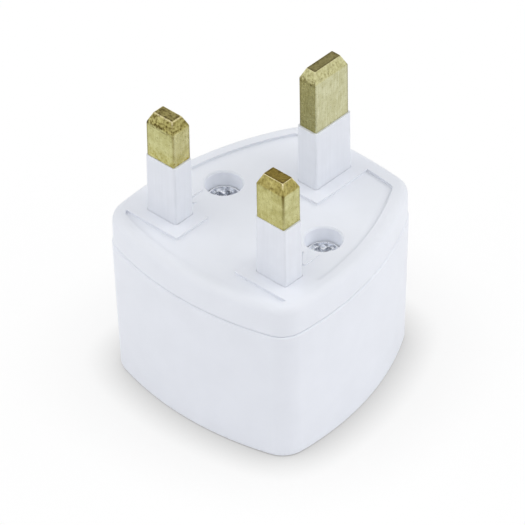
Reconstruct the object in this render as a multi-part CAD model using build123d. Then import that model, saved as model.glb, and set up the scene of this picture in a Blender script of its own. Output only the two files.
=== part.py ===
from build123d import *

import os
from math import cos, radians, sin, tan

# Plug-in travel adapter: three flat pins stand on the cover, a universal outlet opens in the face under it.
# Millimetres. The outlet face rests on z = 0, +Z runs along the pins, +Y points from the line and neutral
# pins to the earth pin, and +X from the line pin to the neutral pin.

# Body, measured at the parting line between housing and cover
BODY_WIDTH = 38.2
BODY_DEPTH = 40.0
BODY_HEIGHT = 28.95
COVER_HEIGHT = 5.3
FRONT_SIDE_R = 52.0
LONG_SIDE_R = 50.0
BACK_SIDE_R = 77.0
WIDEST_FROM_FRONT = 12.0
FRONT_CORNER_R = 4.5
BACK_CORNER_R = 4.6
EDGE_STEPS = 3

# Housing moulding
HOUSING_DRAFT_DEG = 1.5
HOUSING_WALL = 2.0
FACE_WALL = 2.5
REST_EDGE_R = 0.5
PARTING_BREAK = 0.2

# Cover moulding
COVER_STEP = 0.15
COVER_EDGE_R = 1.3
ROOF_WALL = 2.2
LIP_WALL = 1.1
LIP_DEPTH = 1.2
LIP_CLEARANCE = 0.15
PANEL_DROP = 0.45
RIM_FRONT = 2.25
RIM_SIDE = 2.45
RIM_BACK = 2.85
PANEL_CORNER_R = 1.2
PAD_MARGIN = 2.2
PAD_BACK_MARGIN = 0.75

# Pins: 22.23 mm apart and 22.23 mm to the earth pin, as in every socket of this kind
PIN_PITCH = 22.23
EARTH_PITCH = 22.23
PINS_OFF_CENTRE = 0.855
LIVE_BAR = (5.45, 3.7)
EARTH_BAR = (3.35, 7.3)
LIVE_SLEEVE = (6.0, 3.9)
EARTH_SLEEVE = (3.85, 7.95)
LIVE_PIN_LENGTH = 18.4
EARTH_PIN_LENGTH = 21.15
SLEEVE_LENGTH = 10.45
SLEEVE_CORNER_R = 0.4
BAR_CORNER_R = 0.2
TIP_INSET = 0.8
TIP_HEIGHT = 1.75
NECK_INSET = 0.5
SLEEVE_CLEARANCE = 0.05
FOOT_MARGIN = 0.6
FOOT_CLEARANCE = 0.2
FOOT_HEIGHT = 1.2
HEEL_HEIGHT = 3.0
SPIGOT_R = 1.2
STAKE_HEAD_R = 2.0
STAKE_HEAD_HEIGHT = 0.7
STAKE_CLEARANCE = 0.02

# Folded spring contacts
PLATE_THICKNESS = 0.8
LEAF_THICKNESS = 0.6
LEAF_GAP = 5.4
WAIST_GAP = 3.5
MOUTH_GAP = 5.6
MOUTH_Z = 7.0
WAIST_RISE = 3.5
SHOULDER_RISE = 9.0
LEAF_BEND_R = 2.0
LEAF_MARGIN = 0.1
EAR_LENGTH = 0.8
EAR_WIDTH = 3.2
RIB_WALL = 1.2
RIB_LENGTH = 8.0
CONTACT_CLEARANCE = 0.15

# Outlet openings
BAR_SLOT = (7.0, 4.6)
ROUND_PITCH = 19.0
ROUND_HOLE_R = 2.6
BLADE_PITCH = 12.7
BLADE_SLOT = (2.0, 8.0)
SLANT_PITCH = 13.8
SLANT_SLOT = (2.0, 7.6)
SLANT_DEG = 30.0
EARTH_SLOT = (4.6, 8.4)
ROUND_EARTH_PITCH = 11.9

# Case screws
SCREW_PITCH = 20.3
SCREW_FROM_LIVE = 10.75
WELL_R = 2.9
WELL_WALL = 1.3
WELL_BREAK = 0.25
SCREW_DROP = 2.5
SEAT_WALL = 1.5
HEAD_R = 2.75
HEAD_HEIGHT = 1.9
HEAD_BREAK = 0.25
CROSS_WIDTH = 0.8
CROSS_LENGTH = 3.0
CROSS_DEPTH = 1.0
SHANK_R = 1.25
SHANK_LENGTH = 14.0
SHANK_CLEARANCE = 0.35
PILOT_CLEARANCE = 0.02
PILOT_SPARE = 0.5
BOSS_R = 3.5

# Heights and places that follow from the sizes above
PARTING_Z = BODY_HEIGHT - COVER_HEIGHT
PANEL_Z = BODY_HEIGHT - PANEL_DROP
ROOF_Z = PANEL_Z - ROOF_WALL
LIP_Z = PARTING_Z - LIP_DEPTH
FOOT_Z = ROOF_Z - FOOT_HEIGHT
PLATE_TOP_Z = FOOT_Z - HEEL_HEIGHT
PLATE_Z = PLATE_TOP_Z - PLATE_THICKNESS
SLEEVE_TOP_Z = BODY_HEIGHT + SLEEVE_LENGTH
SCREW_TOP_Z = PANEL_Z - SCREW_DROP
SEAT_Z = SCREW_TOP_Z - HEAD_HEIGHT
BOSS_Z = SEAT_Z - SEAT_WALL
FRONT_Y = -BODY_DEPTH / 2
BACK_Y = BODY_DEPTH / 2
LIVE_Y = PINS_OFF_CENTRE - EARTH_PITCH / 2
EARTH_Y = PINS_OFF_CENTRE + EARTH_PITCH / 2
SCREW_Y = LIVE_Y + SCREW_FROM_LIVE
LINE_AT = (-PIN_PITCH / 2, LIVE_Y)
NEUTRAL_AT = (PIN_PITCH / 2, LIVE_Y)
EARTH_AT = (0, EARTH_Y)
SCREWS_AT = [(-SCREW_PITCH / 2, SCREW_Y), (SCREW_PITCH / 2, SCREW_Y)]


def shield(front_in, side_in, back_in, front_corner_r, back_corner_r):
    """The plan of the body: four bulging sides, each drawn in from the parting line, and rounded corners."""
    front = Pos(0, FRONT_Y + FRONT_SIDE_R) * Circle(FRONT_SIDE_R - front_in)
    back = Pos(0, BACK_Y - BACK_SIDE_R) * Circle(BACK_SIDE_R - back_in)
    reach = LONG_SIDE_R - BODY_WIDTH / 2
    widest_y = FRONT_Y + WIDEST_FROM_FRONT
    left = Pos(reach, widest_y) * Circle(LONG_SIDE_R - side_in)
    right = Pos(-reach, widest_y) * Circle(LONG_SIDE_R - side_in)
    outline = front & back & left & right
    outline = fillet(outline.vertices().group_by(Axis.Y)[0], front_corner_r)
    return fillet(outline.vertices().group_by(Axis.Y)[-1], back_corner_r)


def plan(leaned, offset):
    """The plan drawn in all round: a lean keeps the corners' radius, an offset takes as much from it."""
    inset = leaned + offset
    return shield(inset, inset, inset, FRONT_CORNER_R - offset, BACK_CORNER_R - offset)


def moulding(levels):
    """A block through the plans at several levels, each a height, a lean and an offset."""
    return loft([Pos(0, 0, z) * plan(leaned, offset) for z, leaned, offset in levels], ruled=True)


def rolled(edge_r):
    """The steps of a rounded edge: how far each lies in from the wall, and how far from the end face."""
    turns = [radians(90 * step / EDGE_STEPS) for step in range(EDGE_STEPS + 1)]
    return [(edge_r * (1 - sin(turn)), edge_r * (1 - cos(turn))) for turn in turns]


def lean(z):
    """How far the housing's wall has drawn in at height z."""
    return (PARTING_Z - z) * tan(radians(HOUSING_DRAFT_DEG))


def housing_block():
    """The housing's outside: rolled rest edge, leaning wall and a small break at the parting line."""
    break_z = PARTING_Z - PARTING_BREAK
    levels = [(rise, lean(REST_EDGE_R), inset) for inset, rise in rolled(REST_EDGE_R)]
    return moulding(levels + [(break_z, lean(break_z), 0), (PARTING_Z, 0, PARTING_BREAK)])


def housing_cavity():
    """The housing's inside: a prism up from the outlet face, whose walls then lean with the outside."""
    prism = extrude(Pos(0, 0, FACE_WALL) * plan(0, HOUSING_WALL), PARTING_Z - FACE_WALL)
    walls = prism.faces().filter_by(GeomType.CYLINDER)
    return draft(walls, Plane.XY.offset(PARTING_Z), -HOUSING_DRAFT_DEG)


def cover_block():
    """The cover's outside: a small break at the parting line, upright wall and rolled top edge."""
    foot = [(PARTING_Z, 0, COVER_STEP + PARTING_BREAK), (PARTING_Z + PARTING_BREAK, 0, COVER_STEP)]
    edge = [(BODY_HEIGHT - drop, 0, COVER_STEP + inset) for inset, drop in reversed(rolled(COVER_EDGE_R))]
    return moulding(foot + edge)


def column(place, radius, low_z, high_z):
    """A round upright column or hole."""
    return extrude(Pos(*place, low_z) * Circle(radius), high_z - low_z)


def bar(place, section, low_z, high_z, corner_r=0.0, grow=0.0):
    """An upright bar of rectangular section, or the hole that takes it."""
    width, depth = section
    outline = Rectangle(width + 2 * grow, depth + 2 * grow)
    if corner_r:
        outline = fillet(outline.vertices(), corner_r)
    return extrude(Pos(*place, low_z) * outline, high_z - low_z)


def span(low_x, high_x, low_y, high_y, low_z, high_z):
    """A block between two corners."""
    middle = Pos((low_x + high_x) / 2, (low_y + high_y) / 2, (low_z + high_z) / 2)
    return middle * Box(high_x - low_x, high_y - low_y, high_z - low_z)


def live_opening():
    """The neutral half of the outlet: flat bar, round, upright and slanted blade pins share one opening."""
    flat_bar = Pos(PIN_PITCH / 2, LIVE_Y) * Rectangle(*BAR_SLOT)
    round_pin = Pos(ROUND_PITCH / 2, LIVE_Y) * Circle(ROUND_HOLE_R)
    blade = Pos(BLADE_PITCH / 2, LIVE_Y) * Rectangle(*BLADE_SLOT)
    slanted = Pos(SLANT_PITCH / 2, LIVE_Y) * Rot(0, 0, SLANT_DEG) * Rectangle(*SLANT_SLOT)
    return flat_bar + round_pin + blade + slanted


def earth_opening():
    """The earth slot: a bar pin at its back end, a round pin at its front end."""
    width, depth = EARTH_SLOT
    front_y = LIVE_Y + ROUND_EARTH_PITCH
    back_y = EARTH_Y + depth / 2
    slot = Pos(0, (front_y + back_y) / 2) * Rectangle(width, back_y - front_y)
    return slot + Pos(0, front_y) * Circle(ROUND_HOLE_R)


def live_leaf_ends():
    """Where the neutral contact's leaves start and stop along X, just past the ends of its opening."""
    inner = BLADE_PITCH / 2 - BLADE_SLOT[0] / 2 - LEAF_MARGIN
    outer = PIN_PITCH / 2 + BAR_SLOT[0] / 2 + LEAF_MARGIN
    return inner, outer


def earth_leaf_ends():
    """Where the earth contact's leaves start and stop along Y."""
    front = LIVE_Y + ROUND_EARTH_PITCH - ROUND_HOLE_R - LEAF_MARGIN
    back = EARTH_Y + EARTH_SLOT[1] / 2 + LEAF_MARGIN
    return front, back


def contact_ribs():
    """Cross walls from the outlet face up to the contact plates, which rest on them by their ears."""
    inner, outer = live_leaf_ends()
    front, back = earth_leaf_ends()
    low_y, high_y = LIVE_Y - RIB_LENGTH / 2, LIVE_Y + RIB_LENGTH / 2
    near_x = inner - CONTACT_CLEARANCE
    near = span(near_x - RIB_WALL, near_x, low_y, high_y, 0, PLATE_Z)
    far = span(outer + CONTACT_CLEARANCE, BODY_WIDTH / 2, low_y, high_y, 0, PLATE_Z)
    half = RIB_LENGTH / 2
    fore_y = front - CONTACT_CLEARANCE
    fore = span(-half, half, fore_y - RIB_WALL, fore_y, 0, PLATE_Z)
    aft = span(-half, half, back + CONTACT_CLEARANCE, BACK_Y, 0, PLATE_Z)
    live = near + far
    return live + mirror(live, about=Plane.YZ) + fore + aft


def contact_room(start, stop):
    """The room that a contact laid along X needs: its leaves below, its plate and ears above."""
    half = max(LEAF_GAP, MOUTH_GAP) / 2 + LEAF_THICKNESS + CONTACT_CLEARANCE
    low_x, high_x = start - CONTACT_CLEARANCE, stop + CONTACT_CLEARANCE
    leaves = span(low_x, high_x, -half, half, MOUTH_Z - CONTACT_CLEARANCE, PLATE_Z)
    top_z = PLATE_TOP_Z + CONTACT_CLEARANCE
    plate = span(low_x - EAR_LENGTH, high_x + EAR_LENGTH, -half, half, PLATE_Z, top_z)
    return leaves + plate


def contact_rooms():
    """The rooms of all three contacts, which the mouldings are cut back from where a wall comes close."""
    neutral = Pos(0, LIVE_Y) * contact_room(*live_leaf_ends())
    earth = Rot(0, 0, 90) * contact_room(*earth_leaf_ends())
    return neutral + mirror(neutral, about=Plane.YZ) + earth


def socket_housing():
    """The lower shell: closed by the outlet face, open towards the cover."""
    outer = housing_block()
    shell = outer - housing_cavity()
    shell += contact_ribs() & outer
    shell -= contact_rooms()
    for place in SCREWS_AT:
        shell += column(place, BOSS_R, 0, BOSS_Z)
        shell -= column(place, SHANK_R + PILOT_CLEARANCE, SEAT_Z - SHANK_LENGTH - PILOT_SPARE, BOSS_Z)
    openings = live_opening() + mirror(live_opening(), about=Plane.YZ) + earth_opening()
    return shell - extrude(openings, FACE_WALL)


def pin_pads():
    """The parts of the panel left standing at full height round the pins, out to the rim."""
    width, depth = LIVE_SLEEVE
    inner_x = PIN_PITCH / 2 - width / 2 - PAD_MARGIN
    low_y = LIVE_Y - depth / 2 - PAD_MARGIN
    high_y = LIVE_Y + depth / 2 + PAD_BACK_MARGIN
    neutral = span(inner_x, BODY_WIDTH / 2, low_y, high_y, PANEL_Z, BODY_HEIGHT)
    half = EARTH_SLEEVE[0] / 2 + PAD_MARGIN
    earth_front = EARTH_Y - EARTH_SLEEVE[1] / 2 - PAD_MARGIN
    earth = span(-half, half, earth_front, BACK_Y, PANEL_Z, BODY_HEIGHT)
    return neutral + mirror(neutral, about=Plane.YZ) + earth


def cover_shell():
    """The cover without its holes: rounded top edge, recessed panel and a lip into the housing."""
    block = cover_block()
    panel = shield(RIM_FRONT, RIM_SIDE, RIM_BACK, PANEL_CORNER_R, PANEL_CORNER_R)
    block -= extrude(Pos(0, 0, PANEL_Z) * panel, PANEL_DROP) - pin_pads()
    lip_in = lean(LIP_Z) + HOUSING_WALL + LIP_CLEARANCE
    block += extrude(Pos(0, 0, LIP_Z) * plan(0, lip_in), LIP_DEPTH)
    block -= extrude(Pos(0, 0, LIP_Z) * plan(0, lip_in + LIP_WALL), ROOF_Z - LIP_Z)
    return block - contact_rooms()


def pin_cover():
    """The upper shell, with a slot for each pin and a well with a broken rim for each screw."""
    cover = cover_shell()
    for place, section in ((LINE_AT, LIVE_SLEEVE), (NEUTRAL_AT, LIVE_SLEEVE), (EARTH_AT, EARTH_SLEEVE)):
        cover -= bar(place, section, ROOF_Z, BODY_HEIGHT, SLEEVE_CORNER_R, SLEEVE_CLEARANCE)
        cover -= bar(place, section, LIP_Z, ROOF_Z, grow=FOOT_MARGIN + FOOT_CLEARANCE)
    for place in SCREWS_AT:
        cover += column(place, WELL_R + WELL_WALL, BOSS_Z, PANEL_Z)
        cover -= column(place, WELL_R, SEAT_Z, PANEL_Z)
        cover -= Pos(*place, PANEL_Z - WELL_BREAK / 2) * Cone(WELL_R, WELL_R + WELL_BREAK, WELL_BREAK)
        cover -= column(place, SHANK_R + SHANK_CLEARANCE, BOSS_Z, SEAT_Z)
    return cover


def pin(place, section, length):
    """A brass bar pin: bevelled tip, neck under the sleeve, heel on the contact and a staked spigot."""
    width, depth = section
    tip_z = BODY_HEIGHT + length
    body = bar(place, section, SLEEVE_TOP_Z, tip_z - TIP_HEIGHT, BAR_CORNER_R)
    foot_of_tip = body.faces().sort_by(Axis.Z)[-1]
    end = fillet(Rectangle(width - 2 * TIP_INSET, depth - 2 * TIP_INSET).vertices(), BAR_CORNER_R)
    body += loft([foot_of_tip, Pos(*place, tip_z) * end], ruled=True)
    body += bar(place, section, FOOT_Z, SLEEVE_TOP_Z, grow=-NECK_INSET)
    body += bar(place, section, PLATE_TOP_Z, FOOT_Z)
    body += column(place, SPIGOT_R, PLATE_Z, PLATE_TOP_Z)
    return body + column(place, STAKE_HEAD_R, PLATE_Z - STAKE_HEAD_HEIGHT, PLATE_Z)


def pin_sleeve(place, section, neck_section):
    """A sleeve moulded round the pin's neck, with a foot that bears on the underside of the cover."""
    sleeve = bar(place, section, ROOF_Z, SLEEVE_TOP_Z, SLEEVE_CORNER_R)
    sleeve += bar(place, section, FOOT_Z, ROOF_Z, SLEEVE_CORNER_R, FOOT_MARGIN)
    return sleeve - bar(place, neck_section, FOOT_Z, SLEEVE_TOP_Z, grow=-NECK_INSET)


def leaf_profile():
    """One spring leaf seen along its fold: straight from the plate, pinched at the waist, flared below."""
    waist_z = MOUTH_Z + WAIST_RISE
    shoulder_z = MOUTH_Z + SHOULDER_RISE
    inner = [
        (LEAF_GAP / 2, PLATE_TOP_Z),
        (LEAF_GAP / 2, shoulder_z),
        (WAIST_GAP / 2, waist_z),
        (MOUTH_GAP / 2, MOUTH_Z),
    ]
    outer = [(across + LEAF_THICKNESS, height) for across, height in reversed(inner)]
    leaf = make_face(Polyline(*inner, *outer, close=True))
    bends = [v for v in leaf.vertices() if MOUTH_Z < v.Y < PLATE_TOP_Z]
    return fillet(bends, LEAF_BEND_R)


def folded_contact(start, stop, spigot_at):
    """A contact laid along X from start to stop: a plate with ears, two leaves and the spigot's hole."""
    leaf = extrude(Plane.YZ.offset(start) * leaf_profile(), stop - start)
    half = LEAF_GAP / 2 + LEAF_THICKNESS
    plate = span(start, stop, -half, half, PLATE_Z, PLATE_TOP_Z)
    ears = span(start - EAR_LENGTH, stop + EAR_LENGTH, -EAR_WIDTH / 2, EAR_WIDTH / 2, PLATE_Z, PLATE_TOP_Z)
    contact = leaf + mirror(leaf, about=Plane.XZ) + plate + ears
    return contact - column((spigot_at, 0), SPIGOT_R + STAKE_CLEARANCE, PLATE_Z, PLATE_TOP_Z)


def neutral_contact():
    """The neutral contact, along X over its opening."""
    inner, outer = live_leaf_ends()
    return Pos(0, LIVE_Y) * folded_contact(inner, outer, PIN_PITCH / 2)


def earth_contact():
    """The earth contact, along Y over the long earth slot."""
    front, back = earth_leaf_ends()
    return Rot(0, 0, 90) * folded_contact(front, back, EARTH_Y)


def case_screw(place):
    """A pan-head screw with a cross recess; its thread is left plain."""
    head = column(place, HEAD_R, SEAT_Z, SCREW_TOP_Z)
    head = chamfer(head.faces().sort_by(Axis.Z)[-1].edges(), HEAD_BREAK)
    for section in ((CROSS_LENGTH, CROSS_WIDTH), (CROSS_WIDTH, CROSS_LENGTH)):
        head -= bar(place, section, SCREW_TOP_Z - CROSS_DEPTH, SCREW_TOP_Z)
    return head + column(place, SHANK_R, SEAT_Z - SHANK_LENGTH, SEAT_Z)


def pieces():
    """Every piece of the adapter by the name of its node."""
    return {
        "socket_housing": socket_housing(),
        "pin_cover": pin_cover(),
        "line_pin": pin(LINE_AT, LIVE_BAR, LIVE_PIN_LENGTH),
        "neutral_pin": pin(NEUTRAL_AT, LIVE_BAR, LIVE_PIN_LENGTH),
        "earth_pin": pin(EARTH_AT, EARTH_BAR, EARTH_PIN_LENGTH),
        "line_pin_sleeve": pin_sleeve(LINE_AT, LIVE_SLEEVE, LIVE_BAR),
        "neutral_pin_sleeve": pin_sleeve(NEUTRAL_AT, LIVE_SLEEVE, LIVE_BAR),
        "earth_pin_sleeve": pin_sleeve(EARTH_AT, EARTH_SLEEVE, EARTH_BAR),
        "line_contact": mirror(neutral_contact(), about=Plane.YZ),
        "neutral_contact": neutral_contact(),
        "earth_contact": earth_contact(),
        "case_screws": Compound([case_screw(place) for place in SCREWS_AT]),
    }


os.makedirs("parts", exist_ok=True)
for node, shape in pieces().items():
    export_step(shape, f"parts/{node}.step")
    print(node, round(shape.volume, 1), "mm3")
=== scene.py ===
# %% [markdown]
# # A plug-in travel adapter, dressed for its picture
# The adapter is a palm-sized white moulding that stands on its outlet face, with three sleeved brass pins
# on top. Its shape comes ready made from the CAD model, so this lesson adds what a solid lacks: soft
# edges, finishes that look like the real materials, the small raised letters, and a studio to show it in.
# Loading comes first, because every later step takes its sizes from the loaded pieces.

# %% Load the solids and measure them
from math import cos, radians, sin

import bpy
from mathutils import Matrix, Vector


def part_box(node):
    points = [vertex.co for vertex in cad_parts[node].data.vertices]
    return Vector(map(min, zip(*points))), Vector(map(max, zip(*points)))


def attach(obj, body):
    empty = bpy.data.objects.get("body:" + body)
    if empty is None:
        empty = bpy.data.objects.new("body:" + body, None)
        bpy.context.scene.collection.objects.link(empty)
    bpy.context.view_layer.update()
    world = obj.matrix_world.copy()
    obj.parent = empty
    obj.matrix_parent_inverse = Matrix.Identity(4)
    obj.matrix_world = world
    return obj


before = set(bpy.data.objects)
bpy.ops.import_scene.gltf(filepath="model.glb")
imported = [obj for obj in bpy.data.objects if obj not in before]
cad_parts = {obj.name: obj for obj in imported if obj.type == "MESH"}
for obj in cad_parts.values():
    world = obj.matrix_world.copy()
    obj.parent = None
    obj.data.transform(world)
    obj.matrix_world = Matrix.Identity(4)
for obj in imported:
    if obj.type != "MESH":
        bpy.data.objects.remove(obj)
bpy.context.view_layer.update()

MM = 0.001
scene = bpy.context.scene
print("pieces:", ", ".join(sorted(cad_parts)))

# %% [markdown]
# ## Soft edges on the mouldings and the bars
# No moulded or drawn edge is perfectly sharp, and the thin bright line along a rounded edge is what tells
# the eye how big a thing is. The edges could be rounded in the solids, at the cost of many small faces, or
# faked in the shading, where they would not reach an exported mesh. Here a stack of modifiers does it: the
# faces are joined at their seams, the flats are cleared of triangles, the sharp edges are bevelled and the
# shading is evened out, while the loaded mesh itself stays as it is. The pins' tips meet their sides at a
# shallow angle, so on a pin an edge counts as sharp sooner.

# %% Bevel each piece by what its process leaves
EDGE_MM = {
    "socket_housing": 0.16,
    "pin_cover": 0.1,
    "line_pin_sleeve": 0.12,
    "neutral_pin_sleeve": 0.12,
    "earth_pin_sleeve": 0.12,
    "line_pin": 0.2,
    "neutral_pin": 0.34,
    "earth_pin": 0.14,
    "line_contact": 0.08,
    "neutral_contact": 0.08,
    "earth_contact": 0.08,
    "case_screws": 0.16,
}
PINS = ("line_pin", "neutral_pin", "earth_pin")
SHARP_FROM, PIN_SHARP_FROM = radians(35), radians(20)
FLAT_WITHIN = radians(0.3)
JOIN_MM = 0.001
ROUNDING_STEPS = 3


def soften_edges(piece, edge_mm, sharp_from):
    """Round a piece's sharp edges by edge_mm, without touching its own mesh."""
    join = piece.modifiers.new("join the faces", "WELD")
    join.merge_threshold = JOIN_MM * MM
    clear = piece.modifiers.new("clear the flats", "DECIMATE")
    clear.decimate_type = "DISSOLVE"
    clear.angle_limit = FLAT_WITHIN
    rounding = piece.modifiers.new("round the edges", "BEVEL")
    rounding.width = edge_mm * MM
    rounding.segments = ROUNDING_STEPS
    rounding.limit_method = "ANGLE"
    rounding.angle_limit = sharp_from
    rounding.miter_outer = "MITER_ARC"
    piece.modifiers.new("even the shading", "WEIGHTED_NORMAL")


for node, edge_mm in EDGE_MM.items():
    soften_edges(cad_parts[node], edge_mm, PIN_SHARP_FROM if node in PINS else SHARP_FROM)
print("softened", len(EDGE_MM), "pieces, by", min(EDGE_MM.values()), "to", max(EDGE_MM.values()), "mm")

# %% [markdown]
# ## Raised letters beside the pins
# The cover carries a small raised letter behind each of the two shorter pins, L for line and N for neutral,
# as such plugs do. They could be cut from a font, but moulded marks this small are plain strokes, so each
# letter is one outline with square corners, pulled up from the panel by a tenth of a millimetre or so. They
# are their own pieces and use the cover's plastic.

# %% Two letters on the panel
LETTER_HEIGHT_MM, LETTER_RISE_MM, LETTER_SINK_MM = 3.2, 0.16, 0.02
STROKE, DIAGONAL = 0.5, 0.9
L_WIDTH, N_WIDTH = 1.8, 2.8
L_PLACE_MM, N_PLACE_MM = (-11.8, -6.2), (9.6, -6.1)
PANEL_DROP_MM = 0.45
PANEL_Z_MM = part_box("pin_cover")[1].z / MM - PANEL_DROP_MM
TOP = LETTER_HEIGHT_MM
L_OUTLINE = [(0, 0), (L_WIDTH, 0), (L_WIDTH, STROKE), (STROKE, STROKE), (STROKE, TOP), (0, TOP)]
N_OUTLINE = [
    (0, 0), (STROKE, 0), (STROKE, TOP - DIAGONAL), (N_WIDTH - STROKE, 0), (N_WIDTH, 0),
    (N_WIDTH, TOP), (N_WIDTH - STROKE, TOP), (N_WIDTH - STROKE, DIAGONAL), (STROKE, TOP), (0, TOP),
]


def raised_letter(name, corner, outline):
    """A letter that stands a little proud of the panel, from its outline in millimetres."""
    count = len(outline)
    levels = (PANEL_Z_MM - LETTER_SINK_MM, PANEL_Z_MM + LETTER_RISE_MM)
    points = [((corner[0] + x) * MM, (corner[1] + y) * MM, z * MM) for z in levels for x, y in outline]
    walls = [(at, (at + 1) % count, (at + 1) % count + count, at + count) for at in range(count)]
    ends = [tuple(reversed(range(count))), tuple(range(count, 2 * count))]
    mesh = bpy.data.meshes.new(name)
    mesh.from_pydata(points, [], walls + ends)
    letter = bpy.data.objects.new(name, mesh)
    scene.collection.objects.link(letter)
    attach(letter, "root")
    return letter


letters = [raised_letter("letter_L", L_PLACE_MM, L_OUTLINE), raised_letter("letter_N", N_PLACE_MM, N_OUTLINE)]
print("letters:", ", ".join(letter.name for letter in letters))

# %% [markdown]
# ## Small tools for the finishes
# Colours are written the way a paint chart gives them, as sRGB hex values, and shaders want linear light,
# so one function turns the first into the second. Nodes could be written out one setting at a time, which
# takes five lines each and hides the recipe. A second function therefore adds one node with its settings and
# links in a single call, which keeps each material readable from top to bottom.

# %% Colour and node helpers
def linear(hex_colour):
    """An sRGB hex colour as the linear RGBA that a shader takes."""
    shares = [int(hex_colour[at:at + 2], 16) / 255 for at in (1, 3, 5)]
    return [s / 12.92 if s <= 0.04045 else ((s + 0.055) / 1.055) ** 2.4 for s in shares] + [1.0]


def add_node(tree, kind, inputs=None, **settings):
    """Add a node. An input takes a value, an output, or a node, which stands for its first output."""
    node = tree.nodes.new(kind)
    for name, value in settings.items():
        setattr(node, name, value)
    for key, value in (inputs or {}).items():
        named = [socket for socket in node.inputs if socket.enabled and socket.name == key]
        socket = named[0] if named else node.inputs[key]
        if isinstance(value, bpy.types.Node):
            value = next(output for output in value.outputs if output.enabled)
        if isinstance(value, bpy.types.NodeSocket):
            tree.links.new(value, socket)
        else:
            socket.default_value = value
    return node


def blank_material(name):
    """A new material, and its empty node tree."""
    material = bpy.data.materials.new(name)
    material.use_nodes = True
    material.node_tree.nodes.clear()
    return material, material.node_tree


def per_mm(size_mm):
    """The texture scale whose features are about size_mm across on the object."""
    return 1 / (size_mm * MM)


print("a mid grey in linear light:", [round(share, 3) for share in linear("#808080")])

# %% [markdown]
# ## Case plastic: injection-moulded ABS, satin white
# ABS leaves a polished steel mould with a soft sheen and a very slight waviness where thick parts shrank,
# and the recessed panel is usually spark-eroded, so it looks finely speckled. A plain white would look like
# paper. The finish therefore mixes two close cool whites in broad clouds, adds the slow waviness and a fine
# skin as bump, and makes the grain stronger on the panel only, which it finds by its height. An occlusion
# term greys the inner corners a little as painted shade, and the screw wells get a whiter tone as painted
# light, which brightens them. The wells are found by their distance from the screws.

# %% Where the screws sit
HEAD_R_MM = 2.75
SCREWS_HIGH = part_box("case_screws")[1]
SCREW_PLACE = (SCREWS_HIGH.x - HEAD_R_MM * MM, SCREWS_HIGH.y - HEAD_R_MM * MM, 0)


def screw_radius(tree, place):
    """The distance from the nearer screw's axis; the two screws are mirror images."""
    at = add_node(tree, "ShaderNodeSeparateXYZ", {0: place}).outputs
    side = add_node(tree, "ShaderNodeMath", {0: at["X"]}, operation="ABSOLUTE")
    flat = add_node(tree, "ShaderNodeCombineXYZ", {"X": side, "Y": at["Y"]})
    away = add_node(tree, "ShaderNodeVectorMath", {0: flat, 1: SCREW_PLACE}, operation="DISTANCE")
    return away.outputs["Value"]


print("screw axes in mm: x +/-", round(SCREW_PLACE[0] / MM, 2), "and y", round(SCREW_PLACE[1] / MM, 2))

# %% Satin white ABS
ABS_IOR = 1.54
ABS_GLOSS = (0.34, 0.46)  # roughness from the hollows of the skin to its crests
CLOUD_MM = 5.0
SKIN_MM = 0.45  # the real skin is finer, and is drawn this coarse so that it shows at this picture's size
SKIN_SPAN = (0.3, 0.7)  # the part of the noise that is stretched over that roughness
SKIN_DEPTH_MM, GRAIN_DEPTH_MM = 0.003, 0.012
SHRINK_MM, SHRINK_DEPTH_MM, SHRINK_STRENGTH = 9.0, 0.05, 0.6
CREASE_MM, CREASE_SPAN, CREASE_SHADE_SHARE = 1.0, (0.45, 0.9), 0.04  # how near, how hidden and how dark the painted crease shade gets
WELL_R_MM, WELL_DEPTH_MM = 2.93, 3.0
PANEL_WITHIN_MM = 0.05


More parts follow.
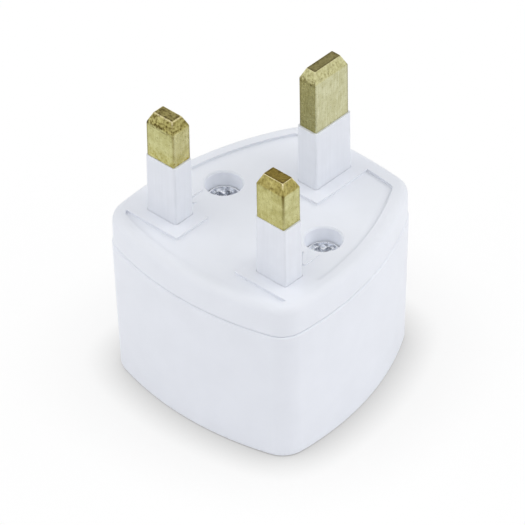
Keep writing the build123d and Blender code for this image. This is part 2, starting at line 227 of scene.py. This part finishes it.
def moulded_abs(name, light, shade, crease_shade_colour, well_light_colour):
    """White ABS in two close tones, a speckled panel, painted crease shade and painted well light."""
    material, tree = blank_material(name)
    place = add_node(tree, "ShaderNodeTexCoord").outputs["Object"]
    height = add_node(tree, "ShaderNodeSeparateXYZ", {0: place}).outputs["Z"]
    clouds = add_node(tree, "ShaderNodeTexNoise", {"Vector": place, "Scale": per_mm(CLOUD_MM), "Detail": 4})
    skin = add_node(tree, "ShaderNodeTexNoise", {"Vector": place, "Scale": per_mm(SKIN_MM), "Detail": 2})
    shrink = add_node(tree, "ShaderNodeTexNoise", {"Vector": place, "Scale": per_mm(SHRINK_MM), "Detail": 1})
    # the screw wells are painted a whiter tone that stands in for the light falling into them
    inside = add_node(tree, "ShaderNodeMath", {0: screw_radius(tree, place), 1: WELL_R_MM * MM},
                      operation="LESS_THAN")
    high_up = add_node(tree, "ShaderNodeMath", {0: height, 1: (PANEL_Z_MM - WELL_DEPTH_MM) * MM},
                       operation="GREATER_THAN")
    in_well = add_node(tree, "ShaderNodeMath", {0: inside, 1: high_up}, operation="MULTIPLY")
    open_share = add_node(tree, "ShaderNodeAmbientOcclusion", {"Distance": CREASE_MM * MM}).outputs["AO"]
    crease_shade = add_node(tree, "ShaderNodeMapRange",
                     {"Value": open_share, "From Min": CREASE_SPAN[0], "From Max": CREASE_SPAN[1],
                      "To Min": CREASE_SHADE_SHARE, "To Max": 0})
    tone = linear(shade)
    # the crease tone is painted shade in the inner corners, and the well tone is painted light in the screw
    # wells
    for where, colour in ((clouds, light), (in_well, well_light_colour), (crease_shade, crease_shade_colour)):
        tone = add_node(tree, "ShaderNodeMix", {"Factor": where, "A": tone, "B": linear(colour)},
                        data_type="RGBA")
    on_panel = add_node(tree, "ShaderNodeMath",
                        {0: height, 1: PANEL_Z_MM * MM, 2: PANEL_WITHIN_MM * MM}, operation="COMPARE")
    grain = add_node(tree, "ShaderNodeMapRange",
                     {"Value": on_panel, "To Min": SKIN_DEPTH_MM * MM, "To Max": GRAIN_DEPTH_MM * MM})
    gloss = add_node(tree, "ShaderNodeMapRange",
                     {"Value": skin, "From Min": SKIN_SPAN[0], "From Max": SKIN_SPAN[1],
                      "To Min": ABS_GLOSS[0], "To Max": ABS_GLOSS[1]})
    wavy = add_node(tree, "ShaderNodeBump",
                    {"Height": shrink, "Distance": SHRINK_DEPTH_MM * MM, "Strength": SHRINK_STRENGTH})
    bump = add_node(tree, "ShaderNodeBump", {"Height": skin, "Distance": grain, "Normal": wavy})
    shader = add_node(tree, "ShaderNodeBsdfPrincipled",
                      {"Base Color": tone, "Roughness": gloss, "IOR": ABS_IOR, "Normal": bump})
    add_node(tree, "ShaderNodeOutputMaterial", {"Surface": shader})
    return material


# the third colour is the painted crease shade, and the fourth the painted light in the screw wells
case_abs = moulded_abs("moulded_satin_white_abs", "#ebeef5", "#e4e7ee", "#a9adb8", "#f4f7fe")
print("case finish:", case_abs.name, "with", len(case_abs.node_tree.nodes), "nodes")

# %% [markdown]
# ## Sleeve plastic: nylon moulded over the pins
# The sleeves keep fingers off the half-inserted pins. They are shot round the brass in a tougher plastic,
# a little duller than the case, and its flow leaves faint lines along the pin. Grooves that fine would need
# thousands of faces, so a noise stretched along the pin gives the lines, both in the bump and, very slightly
# and broken up by a soft haze, in the tone.

# %% Matt white nylon
NYLON_IOR = 1.53
NYLON_GLOSS = (0.4, 0.52)
FLOW_MM, FLOW_DEPTH_MM = (0.5, 0.5, 9.0), 0.002
HAZE_MM = 3.0
SHADE_SPAN = (0.1, 0.45)


def moulded_nylon(name, light, shade):
    """White moulded nylon with faint flow lines along the pin."""
    material, tree = blank_material(name)
    place = add_node(tree, "ShaderNodeTexCoord").outputs["Object"]
    stretched = add_node(tree, "ShaderNodeMapping",
                         {"Vector": place, "Scale": [per_mm(size) for size in FLOW_MM]})
    flow = add_node(tree, "ShaderNodeTexNoise", {"Vector": stretched, "Scale": 1, "Detail": 3})
    haze = add_node(tree, "ShaderNodeTexNoise", {"Vector": place, "Scale": per_mm(HAZE_MM), "Detail": 3})
    broken = add_node(tree, "ShaderNodeMath", {0: flow, 1: haze}, operation="MULTIPLY")
    share = add_node(tree, "ShaderNodeMapRange",
                     {"Value": broken, "From Min": SHADE_SPAN[0], "From Max": SHADE_SPAN[1]})
    tone = add_node(tree, "ShaderNodeMix", {"Factor": share, "A": linear(shade), "B": linear(light)},
                    data_type="RGBA")
    gloss = add_node(tree, "ShaderNodeMapRange",
                     {"Value": flow, "To Min": NYLON_GLOSS[0], "To Max": NYLON_GLOSS[1]})
    bump = add_node(tree, "ShaderNodeBump", {"Height": flow, "Distance": FLOW_DEPTH_MM * MM})
    shader = add_node(tree, "ShaderNodeBsdfPrincipled",
                      {"Base Color": tone, "Roughness": gloss, "IOR": NYLON_IOR, "Normal": bump})
    add_node(tree, "ShaderNodeOutputMaterial", {"Surface": shader})
    return material


sleeve_nylon = moulded_nylon("moulded_white_nylon", "#e9ecf3", "#e3e6ed")
print("sleeve finish:", sleeve_nylon.name)

# %% [markdown]
# ## Pin brass: drawn bar, milled tips, tarnished by handling
# The pins are cut from drawn brass bar, so fine lines run along them, and their bevelled tips are milled.
# Pushed into sockets for years, they tarnish in pale olive clouds, the tips turn brown and mottled and their
# flat ends dull, and a yellow stain creeps up from the sleeve. Light is painted in as well: the tips and flat
# ends get tones that are partly tarnish and partly a painted dark reflection, the faces towards the front get
# a painted shade, the upright corners a painted dark reflection, and the slanted edges round the flat end a
# painted highlight. Each pin has aged a little differently, so one function makes the three finishes from a
# handful of tones. It could read a painted mask for each kind of mark; here every mask comes from where a
# point lies on its pin and which way it faces, so the marks stay in place from all sides.

# %% Where a point lies on a pin
TIP_MM, TIP_INSET_MM = 1.75, 0.8
TIP_FADE_MM = (-0.1, 0.15)
FOOT_MM = 0.45
BORDER_MM, CORNER_MM = 0.5, 0.5
STAIN_MM = 2.6
# the painted highlight on the slanted edges fades in over this band below the end
HIGHLIGHT_FROM_MM, HIGHLIGHT_FULL_MM = 0.9, 0.27
# the painted dark reflection on the inner corners grows over this height below the tip, from this least share
REFLECTION_RISE_MM, REFLECTION_RISE_LEAST = 5.0, 0.3
END_FACING, FRONT_FACING = 0.97, -0.85  # parts of a face's normal, along the pin and towards the front
SLANT, SLANT_WITHIN = 0.73, 0.25


def near_edge(tree, offset, half_mm, width_mm):
    """A ramp over the last width_mm before half_mm, on either side of a pin's middle."""
    away = add_node(tree, "ShaderNodeMath", {0: offset}, operation="ABSOLUTE")
    return add_node(tree, "ShaderNodeMapRange",
                    {"Value": away, "From Min": (half_mm - width_mm) * MM, "From Max": half_mm * MM},
                    interpolation_type="SMOOTHSTEP")


def height_masks(tree, height, node):
    """Masks by height: the tip, its foot, the top of it, the stain and the rising painted reflection."""
    end_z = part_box(node)[1].z
    tip_z = end_z - TIP_MM * MM
    sleeve_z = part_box(node + "_sleeve")[1].z
    spans = {
        "tip": (tip_z + TIP_FADE_MM[0] * MM, tip_z + TIP_FADE_MM[1] * MM, 0, 1),
        "topmost": (end_z - HIGHLIGHT_FROM_MM * MM, end_z - HIGHLIGHT_FULL_MM * MM, 0, 1),
        "stain": (sleeve_z, sleeve_z + STAIN_MM * MM, 1, 0),
        "rising": (tip_z - REFLECTION_RISE_MM * MM, tip_z, REFLECTION_RISE_LEAST, 1),
    }
    masks = {}
    for name, (low, high, least, most) in spans.items():
        masks[name] = add_node(tree, "ShaderNodeMapRange",
                               {"Value": height, "From Min": low, "From Max": high,
                                "To Min": least, "To Max": most})
    masks["foot"] = add_node(tree, "ShaderNodeMath", {0: height, 1: tip_z, 2: FOOT_MM * MM},
                             operation="COMPARE")
    return masks


def facing_masks(tree):
    """Masks that go by where a face looks: the flat end, the front and the slanted edges round the end."""
    normal = add_node(tree, "ShaderNodeTexCoord").outputs["Normal"]
    facing = add_node(tree, "ShaderNodeSeparateXYZ", {0: normal}).outputs
    return {
        "end": add_node(tree, "ShaderNodeMath", {0: facing["Z"], 1: END_FACING}, operation="GREATER_THAN"),
        # the front mask carries a painted shade on the faces towards the front
        "front": add_node(tree, "ShaderNodeMath", {0: facing["Y"], 1: FRONT_FACING}, operation="LESS_THAN"),
        "slanted": add_node(tree, "ShaderNodeMath", {0: facing["Z"], 1: SLANT, 2: SLANT_WITHIN},
                            operation="COMPARE"),
    }


def edge_masks(tree, at, node, bar_mm):
    """Masks along edges: the border of the flat end, and the upright corners in two diagonal pairs."""
    low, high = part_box(node)
    offsets = [add_node(tree, "ShaderNodeMath", {0: at[axis], 1: (low[axis] + high[axis]) / 2},
                        operation="SUBTRACT") for axis in (0, 1)]
    ends = [near_edge(tree, offset, size / 2 - TIP_INSET_MM, BORDER_MM)
            for offset, size in zip(offsets, bar_mm)]
    sides = [near_edge(tree, offset, size / 2, CORNER_MM) for offset, size in zip(offsets, bar_mm)]
    turn = add_node(tree, "ShaderNodeMath", {0: offsets[0], 1: offsets[1]}, operation="MULTIPLY")
    return {
        "border": add_node(tree, "ShaderNodeMath", {0: ends[0], 1: ends[1]}, operation="MAXIMUM"),
        "corner": add_node(tree, "ShaderNodeMath", {0: sides[0], 1: sides[1]}, operation="MULTIPLY"),
        "outer": add_node(tree, "ShaderNodeMath", {0: turn, 1: 0.0}, operation="GREATER_THAN"),
        "inner": add_node(tree, "ShaderNodeMath", {0: turn, 1: 0.0}, operation="LESS_THAN"),
    }


print("tips are", TIP_MM, "mm high and corner painted_reflection is", CORNER_MM, "mm wide")

# %% What the tarnish looks like
DRAW_MM = (0.22, 0.22, 2.6)
TARNISH_MM = 1.3
MOTTLE_MM = 0.42  # the real pitting is finer, and is drawn this coarse so that it shows in this picture
# the part of each noise that is stretched from 0 to 1
PATTERN_SPANS = {"lines": (0.42, 0.68), "clouds": (0.4, 0.66), "pits": (0.6, 0.72), "blotches": (0.38, 0.64)}
# the least share of the painted highlight where its breaks fall
HIGHLIGHT_BREAK_LEAST = 0.3


def pin_patterns(tree, place):
    """Tarnish clouds, drawn lines, pits, blotches and breaks in the painted highlight, each from 0 to 1."""
    stretched = add_node(tree, "ShaderNodeMapping",
                         {"Vector": place, "Scale": [per_mm(size) for size in DRAW_MM]})
    lines = add_node(tree, "ShaderNodeTexNoise", {"Vector": stretched, "Scale": 1, "Detail": 3})
    clouds = add_node(tree, "ShaderNodeTexNoise", {"Vector": place, "Scale": per_mm(TARNISH_MM), "Detail": 6})
    mottle = add_node(tree, "ShaderNodeTexNoise", {"Vector": place, "Scale": per_mm(MOTTLE_MM), "Detail": 3})
    noises = {"lines": lines, "clouds": clouds, "pits": mottle, "blotches": mottle}
    patterns = {}
    for name, (low, high) in PATTERN_SPANS.items():
        patterns[name] = add_node(tree, "ShaderNodeMapRange",
                                  {"Value": noises[name], "From Min": low, "From Max": high})
    patterns["uneven"] = add_node(tree, "ShaderNodeMapRange",
                                  {"Value": patterns["lines"], "To Min": HIGHLIGHT_BREAK_LEAST})
    return patterns


print("drawn lines are", DRAW_MM[0], "mm apart and tarnish clouds", TARNISH_MM, "mm across")

# %% Drawn and tarnished brass
OLIVE, BROWN, YELLOW, HIGHLIGHT_CREAM = "#d6d2b4", "#8a7a4a", "#e6d86a", "#fff2c6"
# each layer has its kind of wear or painted light, the masks that all have to hold, its colour and how that
# is laid on
WEAR_AND_LIGHT_LAYERS = (
    ("clouds", "clouds", OLIVE, "MULTIPLY"),
    ("lines", "lines", OLIVE, "MULTIPLY"),
    ("pits", "pits", BROWN, "MULTIPLY"),
    ("tip", "tip blotches", BROWN, "MULTIPLY"),
    # the foot layer darkens the front faces at the foot of the tip as painted shade
    ("foot", "foot front blotches", BROWN, "MULTIPLY"),
    ("stain", "stain blotches", YELLOW, "MULTIPLY"),
    ("border", "border end", BROWN, "MULTIPLY"),
    # the two corner layers are a painted dark reflection along the upright edges
    ("outer", "corner outer", BROWN, "MULTIPLY"),
    ("inner", "corner inner rising", BROWN, "MULTIPLY"),
    # a painted cream highlight on the slanted edges round the flat end
    ("painted_highlight", "slanted topmost uneven", HIGHLIGHT_CREAM, "MIX"),
)
PIN_GLOSS = (0.26, 0.4)
LINE_DEPTH_MM, BLOTCH_DEPTH_MM = 0.004, 0.006


def drawn_brass(node, name, bar_mm, tones, wear_and_light):
    """Tarnished drawn brass for one pin, from its tones and the shares of its wear and painted light."""
    material, tree = blank_material(name)
    place = add_node(tree, "ShaderNodeTexCoord").outputs["Object"]
    at = add_node(tree, "ShaderNodeSeparateXYZ", {0: place}).outputs
    masks = height_masks(tree, at["Z"], node) | facing_masks(tree) | edge_masks(tree, at, node, bar_mm)
    masks |= pin_patterns(tree, place)
    # the front tone is painted shade, and the tip and end tones are partly tarnish and partly painted
    # reflection
    layers = [(1.0, part, tones[part], "MIX") for part in ("front", "tip", "end")]
    layers += [(wear_and_light[kind], where, colour, blend) for kind, where, colour, blend in WEAR_AND_LIGHT_LAYERS]
    tone = linear(tones["side"])
    for share, where, colour, blend in layers:
        for mask in where.split():
            share = add_node(tree, "ShaderNodeMath", {0: masks[mask], 1: share}, operation="MULTIPLY")
        tone = add_node(tree, "ShaderNodeMix", {"Factor": share, "A": tone, "B": linear(colour)},
                        data_type="RGBA", blend_type=blend)
    gloss = add_node(tree, "ShaderNodeMapRange",
                     {"Value": masks["blotches"], "To Min": PIN_GLOSS[0], "To Max": PIN_GLOSS[1]})
    scratched = add_node(tree, "ShaderNodeBump", {"Height": masks["lines"], "Distance": LINE_DEPTH_MM * MM})
    bump = add_node(tree, "ShaderNodeBump",
                    {"Height": masks["blotches"], "Distance": BLOTCH_DEPTH_MM * MM, "Normal": scratched})
    shader = add_node(tree, "ShaderNodeBsdfPrincipled",
                      {"Base Color": tone, "Metallic": 1, "Roughness": gloss, "Normal": bump})
    add_node(tree, "ShaderNodeOutputMaterial", {"Surface": shader})
    return material


print("each pin has 3 tones over its own and", len(WEAR_AND_LIGHT_LAYERS), "layers of wear")

# %% The three pins, each as it has aged, with its painted shade and highlights
LIVE_BAR_MM, EARTH_BAR_MM = (5.45, 3.7), (3.35, 7.3)
# side is the pin's own brass; front is painted shade on the faces towards the front; tip and end are partly
# tarnish and partly a painted dark reflection
LINE_TONES = {"side": "#ded79e", "front": "#d0ce96", "tip": "#c9c283", "end": "#a39a64"}
NEUTRAL_TONES = {"side": "#d5d39e", "front": "#ceca8e", "tip": "#c8bd7a", "end": "#92803e"}
EARTH_TONES = {"side": "#d5d4af", "front": "#afa972", "tip": "#dad8a9", "end": "#8e875b"}
LINE_WEAR_AND_LIGHT = {"clouds": 0.6, "lines": 0.45, "pits": 0.5, "tip": 0.8, "foot": 0.7, "stain": 0.8,
             "border": 0.4, "outer": 0.8, "inner": 0.6, "painted_highlight": 0.65}
NEUTRAL_WEAR_AND_LIGHT = {"clouds": 0.65, "lines": 0.35, "pits": 0.35, "tip": 0.45, "foot": 0.25, "stain": 0.3,
                "border": 0.6, "outer": 0.4, "inner": 1.0, "painted_highlight": 1.0}
EARTH_WEAR_AND_LIGHT = {"clouds": 0.35, "lines": 0.5, "pits": 0.35, "tip": 0.32, "foot": 0.6, "stain": 0.1,
              "border": 0.6, "outer": 0.65, "inner": 0.1, "painted_highlight": 0.4}
pin_brass = {
    "line_pin": drawn_brass("line_pin", "drawn_brass_line", LIVE_BAR_MM, LINE_TONES, LINE_WEAR_AND_LIGHT),
    "neutral_pin": drawn_brass("neutral_pin", "drawn_brass_neutral", LIVE_BAR_MM, NEUTRAL_TONES,
                               NEUTRAL_WEAR_AND_LIGHT),
    "earth_pin": drawn_brass("earth_pin", "drawn_brass_earth", EARTH_BAR_MM, EARTH_TONES, EARTH_WEAR_AND_LIGHT),
}
print("pin finishes:", ", ".join(material.name for material in pin_brass.values()))

# %% [markdown]
# ## Contact brass: rolled strip
# Inside, each plug pin is gripped by a folded strip of rolled brass. Only the outlet's openings show it. It
# could share the pins' finish, but nothing handles it, so it stays cleaner and more golden, and rolling
# leaves long straight lines and an even colour.

# %% Rolled brass strip
ROLL_MM, ROLL_DEPTH_MM = (0.2, 0.2, 5.0), 0.005
STRIP_GLOSS = (0.22, 0.38)


def rolled_brass(name, light, shade):
    """Rolled brass strip with fine straight lines."""
    material, tree = blank_material(name)
    place = add_node(tree, "ShaderNodeTexCoord").outputs["Object"]
    stretched = add_node(tree, "ShaderNodeMapping",
                         {"Vector": place, "Scale": [per_mm(size) for size in ROLL_MM]})
    lines = add_node(tree, "ShaderNodeTexNoise", {"Vector": stretched, "Scale": 1, "Detail": 3})
    tone = add_node(tree, "ShaderNodeMix", {"Factor": lines, "A": linear(shade), "B": linear(light)},
                    data_type="RGBA")
    gloss = add_node(tree, "ShaderNodeMapRange",
                     {"Value": lines, "To Min": STRIP_GLOSS[0], "To Max": STRIP_GLOSS[1]})
    bump = add_node(tree, "ShaderNodeBump", {"Height": lines, "Distance": ROLL_DEPTH_MM * MM})
    shader = add_node(tree, "ShaderNodeBsdfPrincipled",
                      {"Base Color": tone, "Metallic": 1, "Roughness": gloss, "Normal": bump})
    add_node(tree, "ShaderNodeOutputMaterial", {"Surface": shader})
    return material


contact_brass = rolled_brass("rolled_brass_strip", "#e0c77e", "#cdb06a")
print("contact finish:", contact_brass.name)

# %% [markdown]
# ## Screw steel: zinc plated and scuffed by the driver
# The case screws are plated in bright zinc, which has a faint blue-grey tone. The driver has scuffed the
# plating, so the heads glitter in small facets, and round the rim of each head a matt white ring is a
# painted highlight. The facets could be modelled, but they are dents of no fixed shape, so a coarse noise
# gives them as bump, and changes both roughness and tone where the plating is worn. The rim is found by its
# distance from the screw's axis.

# %% Bright zinc on steel
SCUFF_MM, SCUFF_SPAN, FACET_MM = 0.7, (0.45, 0.65), 0.28
RIM_FROM_MM, RIM_FULL_MM = 2.2, 2.4
ZINC_GLOSS = (0.16, 0.34)


def zinc_plate(name, light, shade, rim_highlight):
    """Bright zinc plating with scuffs from the driver and a painted white highlight round the head's rim."""
    material, tree = blank_material(name)
    place = add_node(tree, "ShaderNodeTexCoord").outputs["Object"]
    scuffs = add_node(tree, "ShaderNodeTexNoise", {"Vector": place, "Scale": per_mm(SCUFF_MM), "Detail": 4})
    marks = add_node(tree, "ShaderNodeMapRange",
                     {"Value": scuffs, "From Min": SCUFF_SPAN[0], "From Max": SCUFF_SPAN[1]})
    bright = add_node(tree, "ShaderNodeMix", {"Factor": marks, "A": linear(light), "B": linear(shade)},
                      data_type="RGBA")
    metal = add_node(tree, "ShaderNodeMapRange",
                     {"Value": screw_radius(tree, place), "From Min": RIM_FROM_MM * MM,
                      "From Max": RIM_FULL_MM * MM, "To Min": 1, "To Max": 0})
    tone = add_node(tree, "ShaderNodeMix", {"Factor": metal, "A": linear(rim_highlight), "B": bright},
                    data_type="RGBA")
    gloss = add_node(tree, "ShaderNodeMapRange",
                     {"Value": marks, "To Min": ZINC_GLOSS[0], "To Max": ZINC_GLOSS[1]})
    depth = add_node(tree, "ShaderNodeMath", {0: metal, 1: FACET_MM * MM}, operation="MULTIPLY")
    bump = add_node(tree, "ShaderNodeBump", {"Height": scuffs, "Distance": depth})
    shader = add_node(tree, "ShaderNodeBsdfPrincipled",
                      {"Base Color": tone, "Metallic": metal, "Roughness": gloss, "Normal": bump})
    add_node(tree, "ShaderNodeOutputMaterial", {"Surface": shader})
    return material


# the last colour is the painted highlight round the rim of each head
screw_zinc = zinc_plate("zinc_plated_steel", "#f4f6fa", "#989ca6", "#fafcff")
print("screw finish:", screw_zinc.name)

# %% [markdown]
# ## Dressing the pieces
# Each loaded piece has one material slot already. A new slot could be added beside it, but the faces would
# still use the first, so assigning to that slot swaps the finish and leaves the piece alone. The letters are
# new, so they get a slot of their own.

# %% Put each finish on its pieces
FINISHES = {
    "socket_housing": case_abs,
    "pin_cover": case_abs,
    "line_pin_sleeve": sleeve_nylon,
    "neutral_pin_sleeve": sleeve_nylon,
    "earth_pin_sleeve": sleeve_nylon,
    "line_contact": contact_brass,
    "neutral_contact": contact_brass,
    "earth_contact": contact_brass,
    "case_screws": screw_zinc,
    **pin_brass,
}
for node, finish in FINISHES.items():
    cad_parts[node].material_slots[0].material = finish
for letter in letters:
    letter.data.materials.append(case_abs)
finish_count = len(set(FINISHES.values()))
print("dressed", len(FINISHES), "pieces and", len(letters), "letters in", finish_count, "finishes")

# %% [markdown]
# ## Camera: a long lens, high and to the right
# The upright edges stay almost parallel in the picture, so the camera stood far off with a long lens. It
# could be set by eye, but a lens and a place that are both guessed hide each other's faults. Its angles and
# its distance therefore follow from where the pins' corners fall in a square picture of 525 pixels.

# %% Place the camera
AZIMUTH, ELEVATION, ROLL = radians(43.25), radians(38.89), radians(-0.97)
DISTANCE_MM = 1000
FOCAL_PX, PICTURE_PX = 6657, 525
SENSOR_MM = 36
AIM_MM = Vector((0, 0.74, 28.95))
SHIFT_RIGHT_MM, SHIFT_UP_MM = -1.774, -8.251


def place_camera():
    """A camera that looks down on the adapter from its front right."""
    level = Vector((cos(AZIMUTH), sin(AZIMUTH), 0))
    back = Vector((sin(AZIMUTH) * cos(ELEVATION), -cos(AZIMUTH) * cos(ELEVATION), sin(ELEVATION)))
    upright = back.cross(level)
    right = cos(ROLL) * level + sin(ROLL) * upright
    up = cos(ROLL) * upright - sin(ROLL) * level
    where = AIM_MM + SHIFT_RIGHT_MM * right + SHIFT_UP_MM * up + DISTANCE_MM * back
    lens = bpy.data.cameras.new("catalogue_camera")
    lens.sensor_width = SENSOR_MM
    lens.lens = FOCAL_PX * SENSOR_MM / PICTURE_PX
    camera = bpy.data.objects.new("catalogue_camera", lens)
    scene.collection.objects.link(camera)
    turn = Matrix((right, up, back)).transposed().to_4x4()
    camera.matrix_world = Matrix.Translation(where * MM) @ turn
    return camera


scene.camera = place_camera()
scene.view_settings.view_transform = "Standard"
print("camera:", round(scene.camera.data.lens, 1), "mm lens")

# %% [markdown]
# ## Studio: white floor and light tent
# The picture is a plain catalogue shot on white. Lamps over a grey floor could light it, but the floor would
# need far more light than the adapter to turn white. Here the floor is an honest white sheet for every ray of
# light that bounces off it, and only where the camera or a reflection looks at it does most of its brightness
# come from itself, so that it reads as white and still keeps the soft shadow round the foot. Seen from below
# the sheet is clear, and it lets the light through to the face that touches it, so that the outlet can be
# looked at too; it lies a hair below that face, so the two never share a plane. The world is plain white
# where the camera or a reflection looks at it, so the brass mirrors the same white that stands behind it. For
# the light itself it is a tent with bright panels on the left and on the right and a dim front, back and top,
# which keeps the walls of the mouldings evenly white and shades the panel between them.

# %% Floor
FLOOR_SIZE_M = 6.0
FLOOR_DROP_MM = 0.02
FLOOR_LEVEL = 0.245
SHADOWS = ((6.0, 0.47), (18.0, 0.185))  # each reach in mm, and the share of the level that it can take away
PAPER = "#f4f4f6"
PAPER_SEEN = (0.1, 0.1, 0.1, 1)  # how much of the light on the sheet the camera still sees
TOUCH_MM = 0.5
WHITE = (1, 1, 1, 1)


def looked_at(tree):
    """1 for rays from the camera, off a gloss or through a clear piece, and 0 for those that only light."""
    ray = add_node(tree, "ShaderNodeLightPath").outputs
    mirrored = add_node(tree, "ShaderNodeMath", {0: ray["Is Glossy Ray"], 1: ray["Is Transmission Ray"]},
                        operation="MAXIMUM")
    return add_node(tree, "ShaderNodeMath", {0: ray["Is Camera Ray"], 1: mirrored}, operation="MAXIMUM")


def paper_sweep(name):
    """White paper that looks white to the camera apart from the shadow of what stands on it."""
    material, tree = blank_material(name)
    level = FLOOR_LEVEL
    for reach_mm, share in SHADOWS:
        open_share = add_node(tree, "ShaderNodeAmbientOcclusion", {"Distance": reach_mm * MM}).outputs["AO"]
        level = add_node(tree, "ShaderNodeMath", {0: open_share, 1: share, 2: level},
                         operation="MULTIPLY_ADD")
    paper = add_node(tree, "ShaderNodeBsdfDiffuse", {"Color": linear(PAPER)})
    shadowed = add_node(tree, "ShaderNodeBsdfDiffuse", {"Color": PAPER_SEEN})
    glow = add_node(tree, "ShaderNodeEmission", {"Color": WHITE, "Strength": level})
    lifted = add_node(tree, "ShaderNodeAddShader", {0: shadowed, 1: glow})
    sheet = add_node(tree, "ShaderNodeMixShader", {0: looked_at(tree), 1: paper, 2: lifted})
    below = add_node(tree, "ShaderNodeNewGeometry").outputs["Backfacing"]
    length = add_node(tree, "ShaderNodeLightPath").outputs["Ray Length"]
    touching = add_node(tree, "ShaderNodeMath", {0: length, 1: TOUCH_MM * MM}, operation="LESS_THAN")
    open_side = add_node(tree, "ShaderNodeMath", {0: below, 1: touching}, operation="MAXIMUM")
    clear = add_node(tree, "ShaderNodeBsdfTransparent", {"Color": WHITE})
    surface = add_node(tree, "ShaderNodeMixShader", {0: open_side, 1: sheet, 2: clear})
    add_node(tree, "ShaderNodeOutputMaterial", {"Surface": surface})
    return material


def studio_floor():
    """A white sheet under the adapter."""
    half = FLOOR_SIZE_M / 2
    corners = [(x * half, y * half, -FLOOR_DROP_MM * MM) for x, y in ((-1, -1), (1, -1), (1, 1), (-1, 1))]
    sheet = bpy.data.meshes.new("studio_floor")
    sheet.from_pydata(corners, [], [(0, 1, 2, 3)])
    sheet.materials.append(paper_sweep("white_paper_sweep"))
    floor = bpy.data.objects.new("studio_floor", sheet)
    scene.collection.objects.link(floor)
    return floor


print("floor:", studio_floor().name)

# %% Light tent
TENT_RIGHT, TENT_LEFT, TENT_FRONT, TENT_BACK = 2.47, 2.17, 0.75, 0.3
TENT_TOP, TENT_FOOT = 0.5, 0.4
FOOT_SPAN, TOP_SPAN = (0.15, 0.45), (0.7, 0.92)
WALL_FALL = 2.0


def tent_walls(tree, direction):
    """The level of the tent's four walls, each strongest straight ahead of it and blended into the next."""
    flat = add_node(tree, "ShaderNodeVectorMath", {0: direction, 1: (1, 1, 0)}, operation="MULTIPLY")
    heading = add_node(tree, "ShaderNodeVectorMath", {0: flat}, operation="NORMALIZE")
    right = Vector((cos(AZIMUTH), sin(AZIMUTH), 0))
    front = Vector((sin(AZIMUTH), -cos(AZIMUTH), 0))
    walls = ((right, TENT_RIGHT), (-right, TENT_LEFT), (front, TENT_FRONT), (-front, TENT_BACK))
    level = 0.0
    for axis, strength in walls:
        toward = add_node(tree, "ShaderNodeVectorMath", {0: heading, 1: axis}, operation="DOT_PRODUCT")
        ahead = add_node(tree, "ShaderNodeMath", {0: toward, 1: 0.0}, operation="MAXIMUM")
        share = add_node(tree, "ShaderNodeMath", {0: ahead, 1: WALL_FALL}, operation="POWER")
        level = add_node(tree, "ShaderNodeMath", {0: share, 1: strength, 2: level},
                         operation="MULTIPLY_ADD")
    return level


def light_tent():
    """The world: white where it is looked at, and as a light a tent with a foot, four walls and a top."""
    world = bpy.data.worlds.new("light_tent")
    world.use_nodes = True
    tree = world.node_tree
    tree.nodes.clear()
    direction = add_node(tree, "ShaderNodeTexCoord").outputs["Generated"]
    height = add_node(tree, "ShaderNodeSeparateXYZ", {0: direction}).outputs["Z"]
    above_foot, near_top = [
        add_node(tree, "ShaderNodeMapRange", {"Value": height, "From Min": low, "From Max": high},
                 interpolation_type="SMOOTHSTEP") for low, high in (FOOT_SPAN, TOP_SPAN)]
    walls = tent_walls(tree, direction)
    lower = add_node(tree, "ShaderNodeMix", {"Factor": above_foot, "A": TENT_FOOT, "B": walls})
    level = add_node(tree, "ShaderNodeMix", {"Factor": near_top, "A": lower, "B": TENT_TOP})
    strength = add_node(tree, "ShaderNodeMix", {"Factor": looked_at(tree), "A": level, "B": 1.0})
    sky = add_node(tree, "ShaderNodeBackground", {"Color": WHITE, "Strength": strength})
    add_node(tree, "ShaderNodeOutputWorld", {"Surface": sky})
    return world


scene.world = light_tent()
print("world:", scene.world.name)
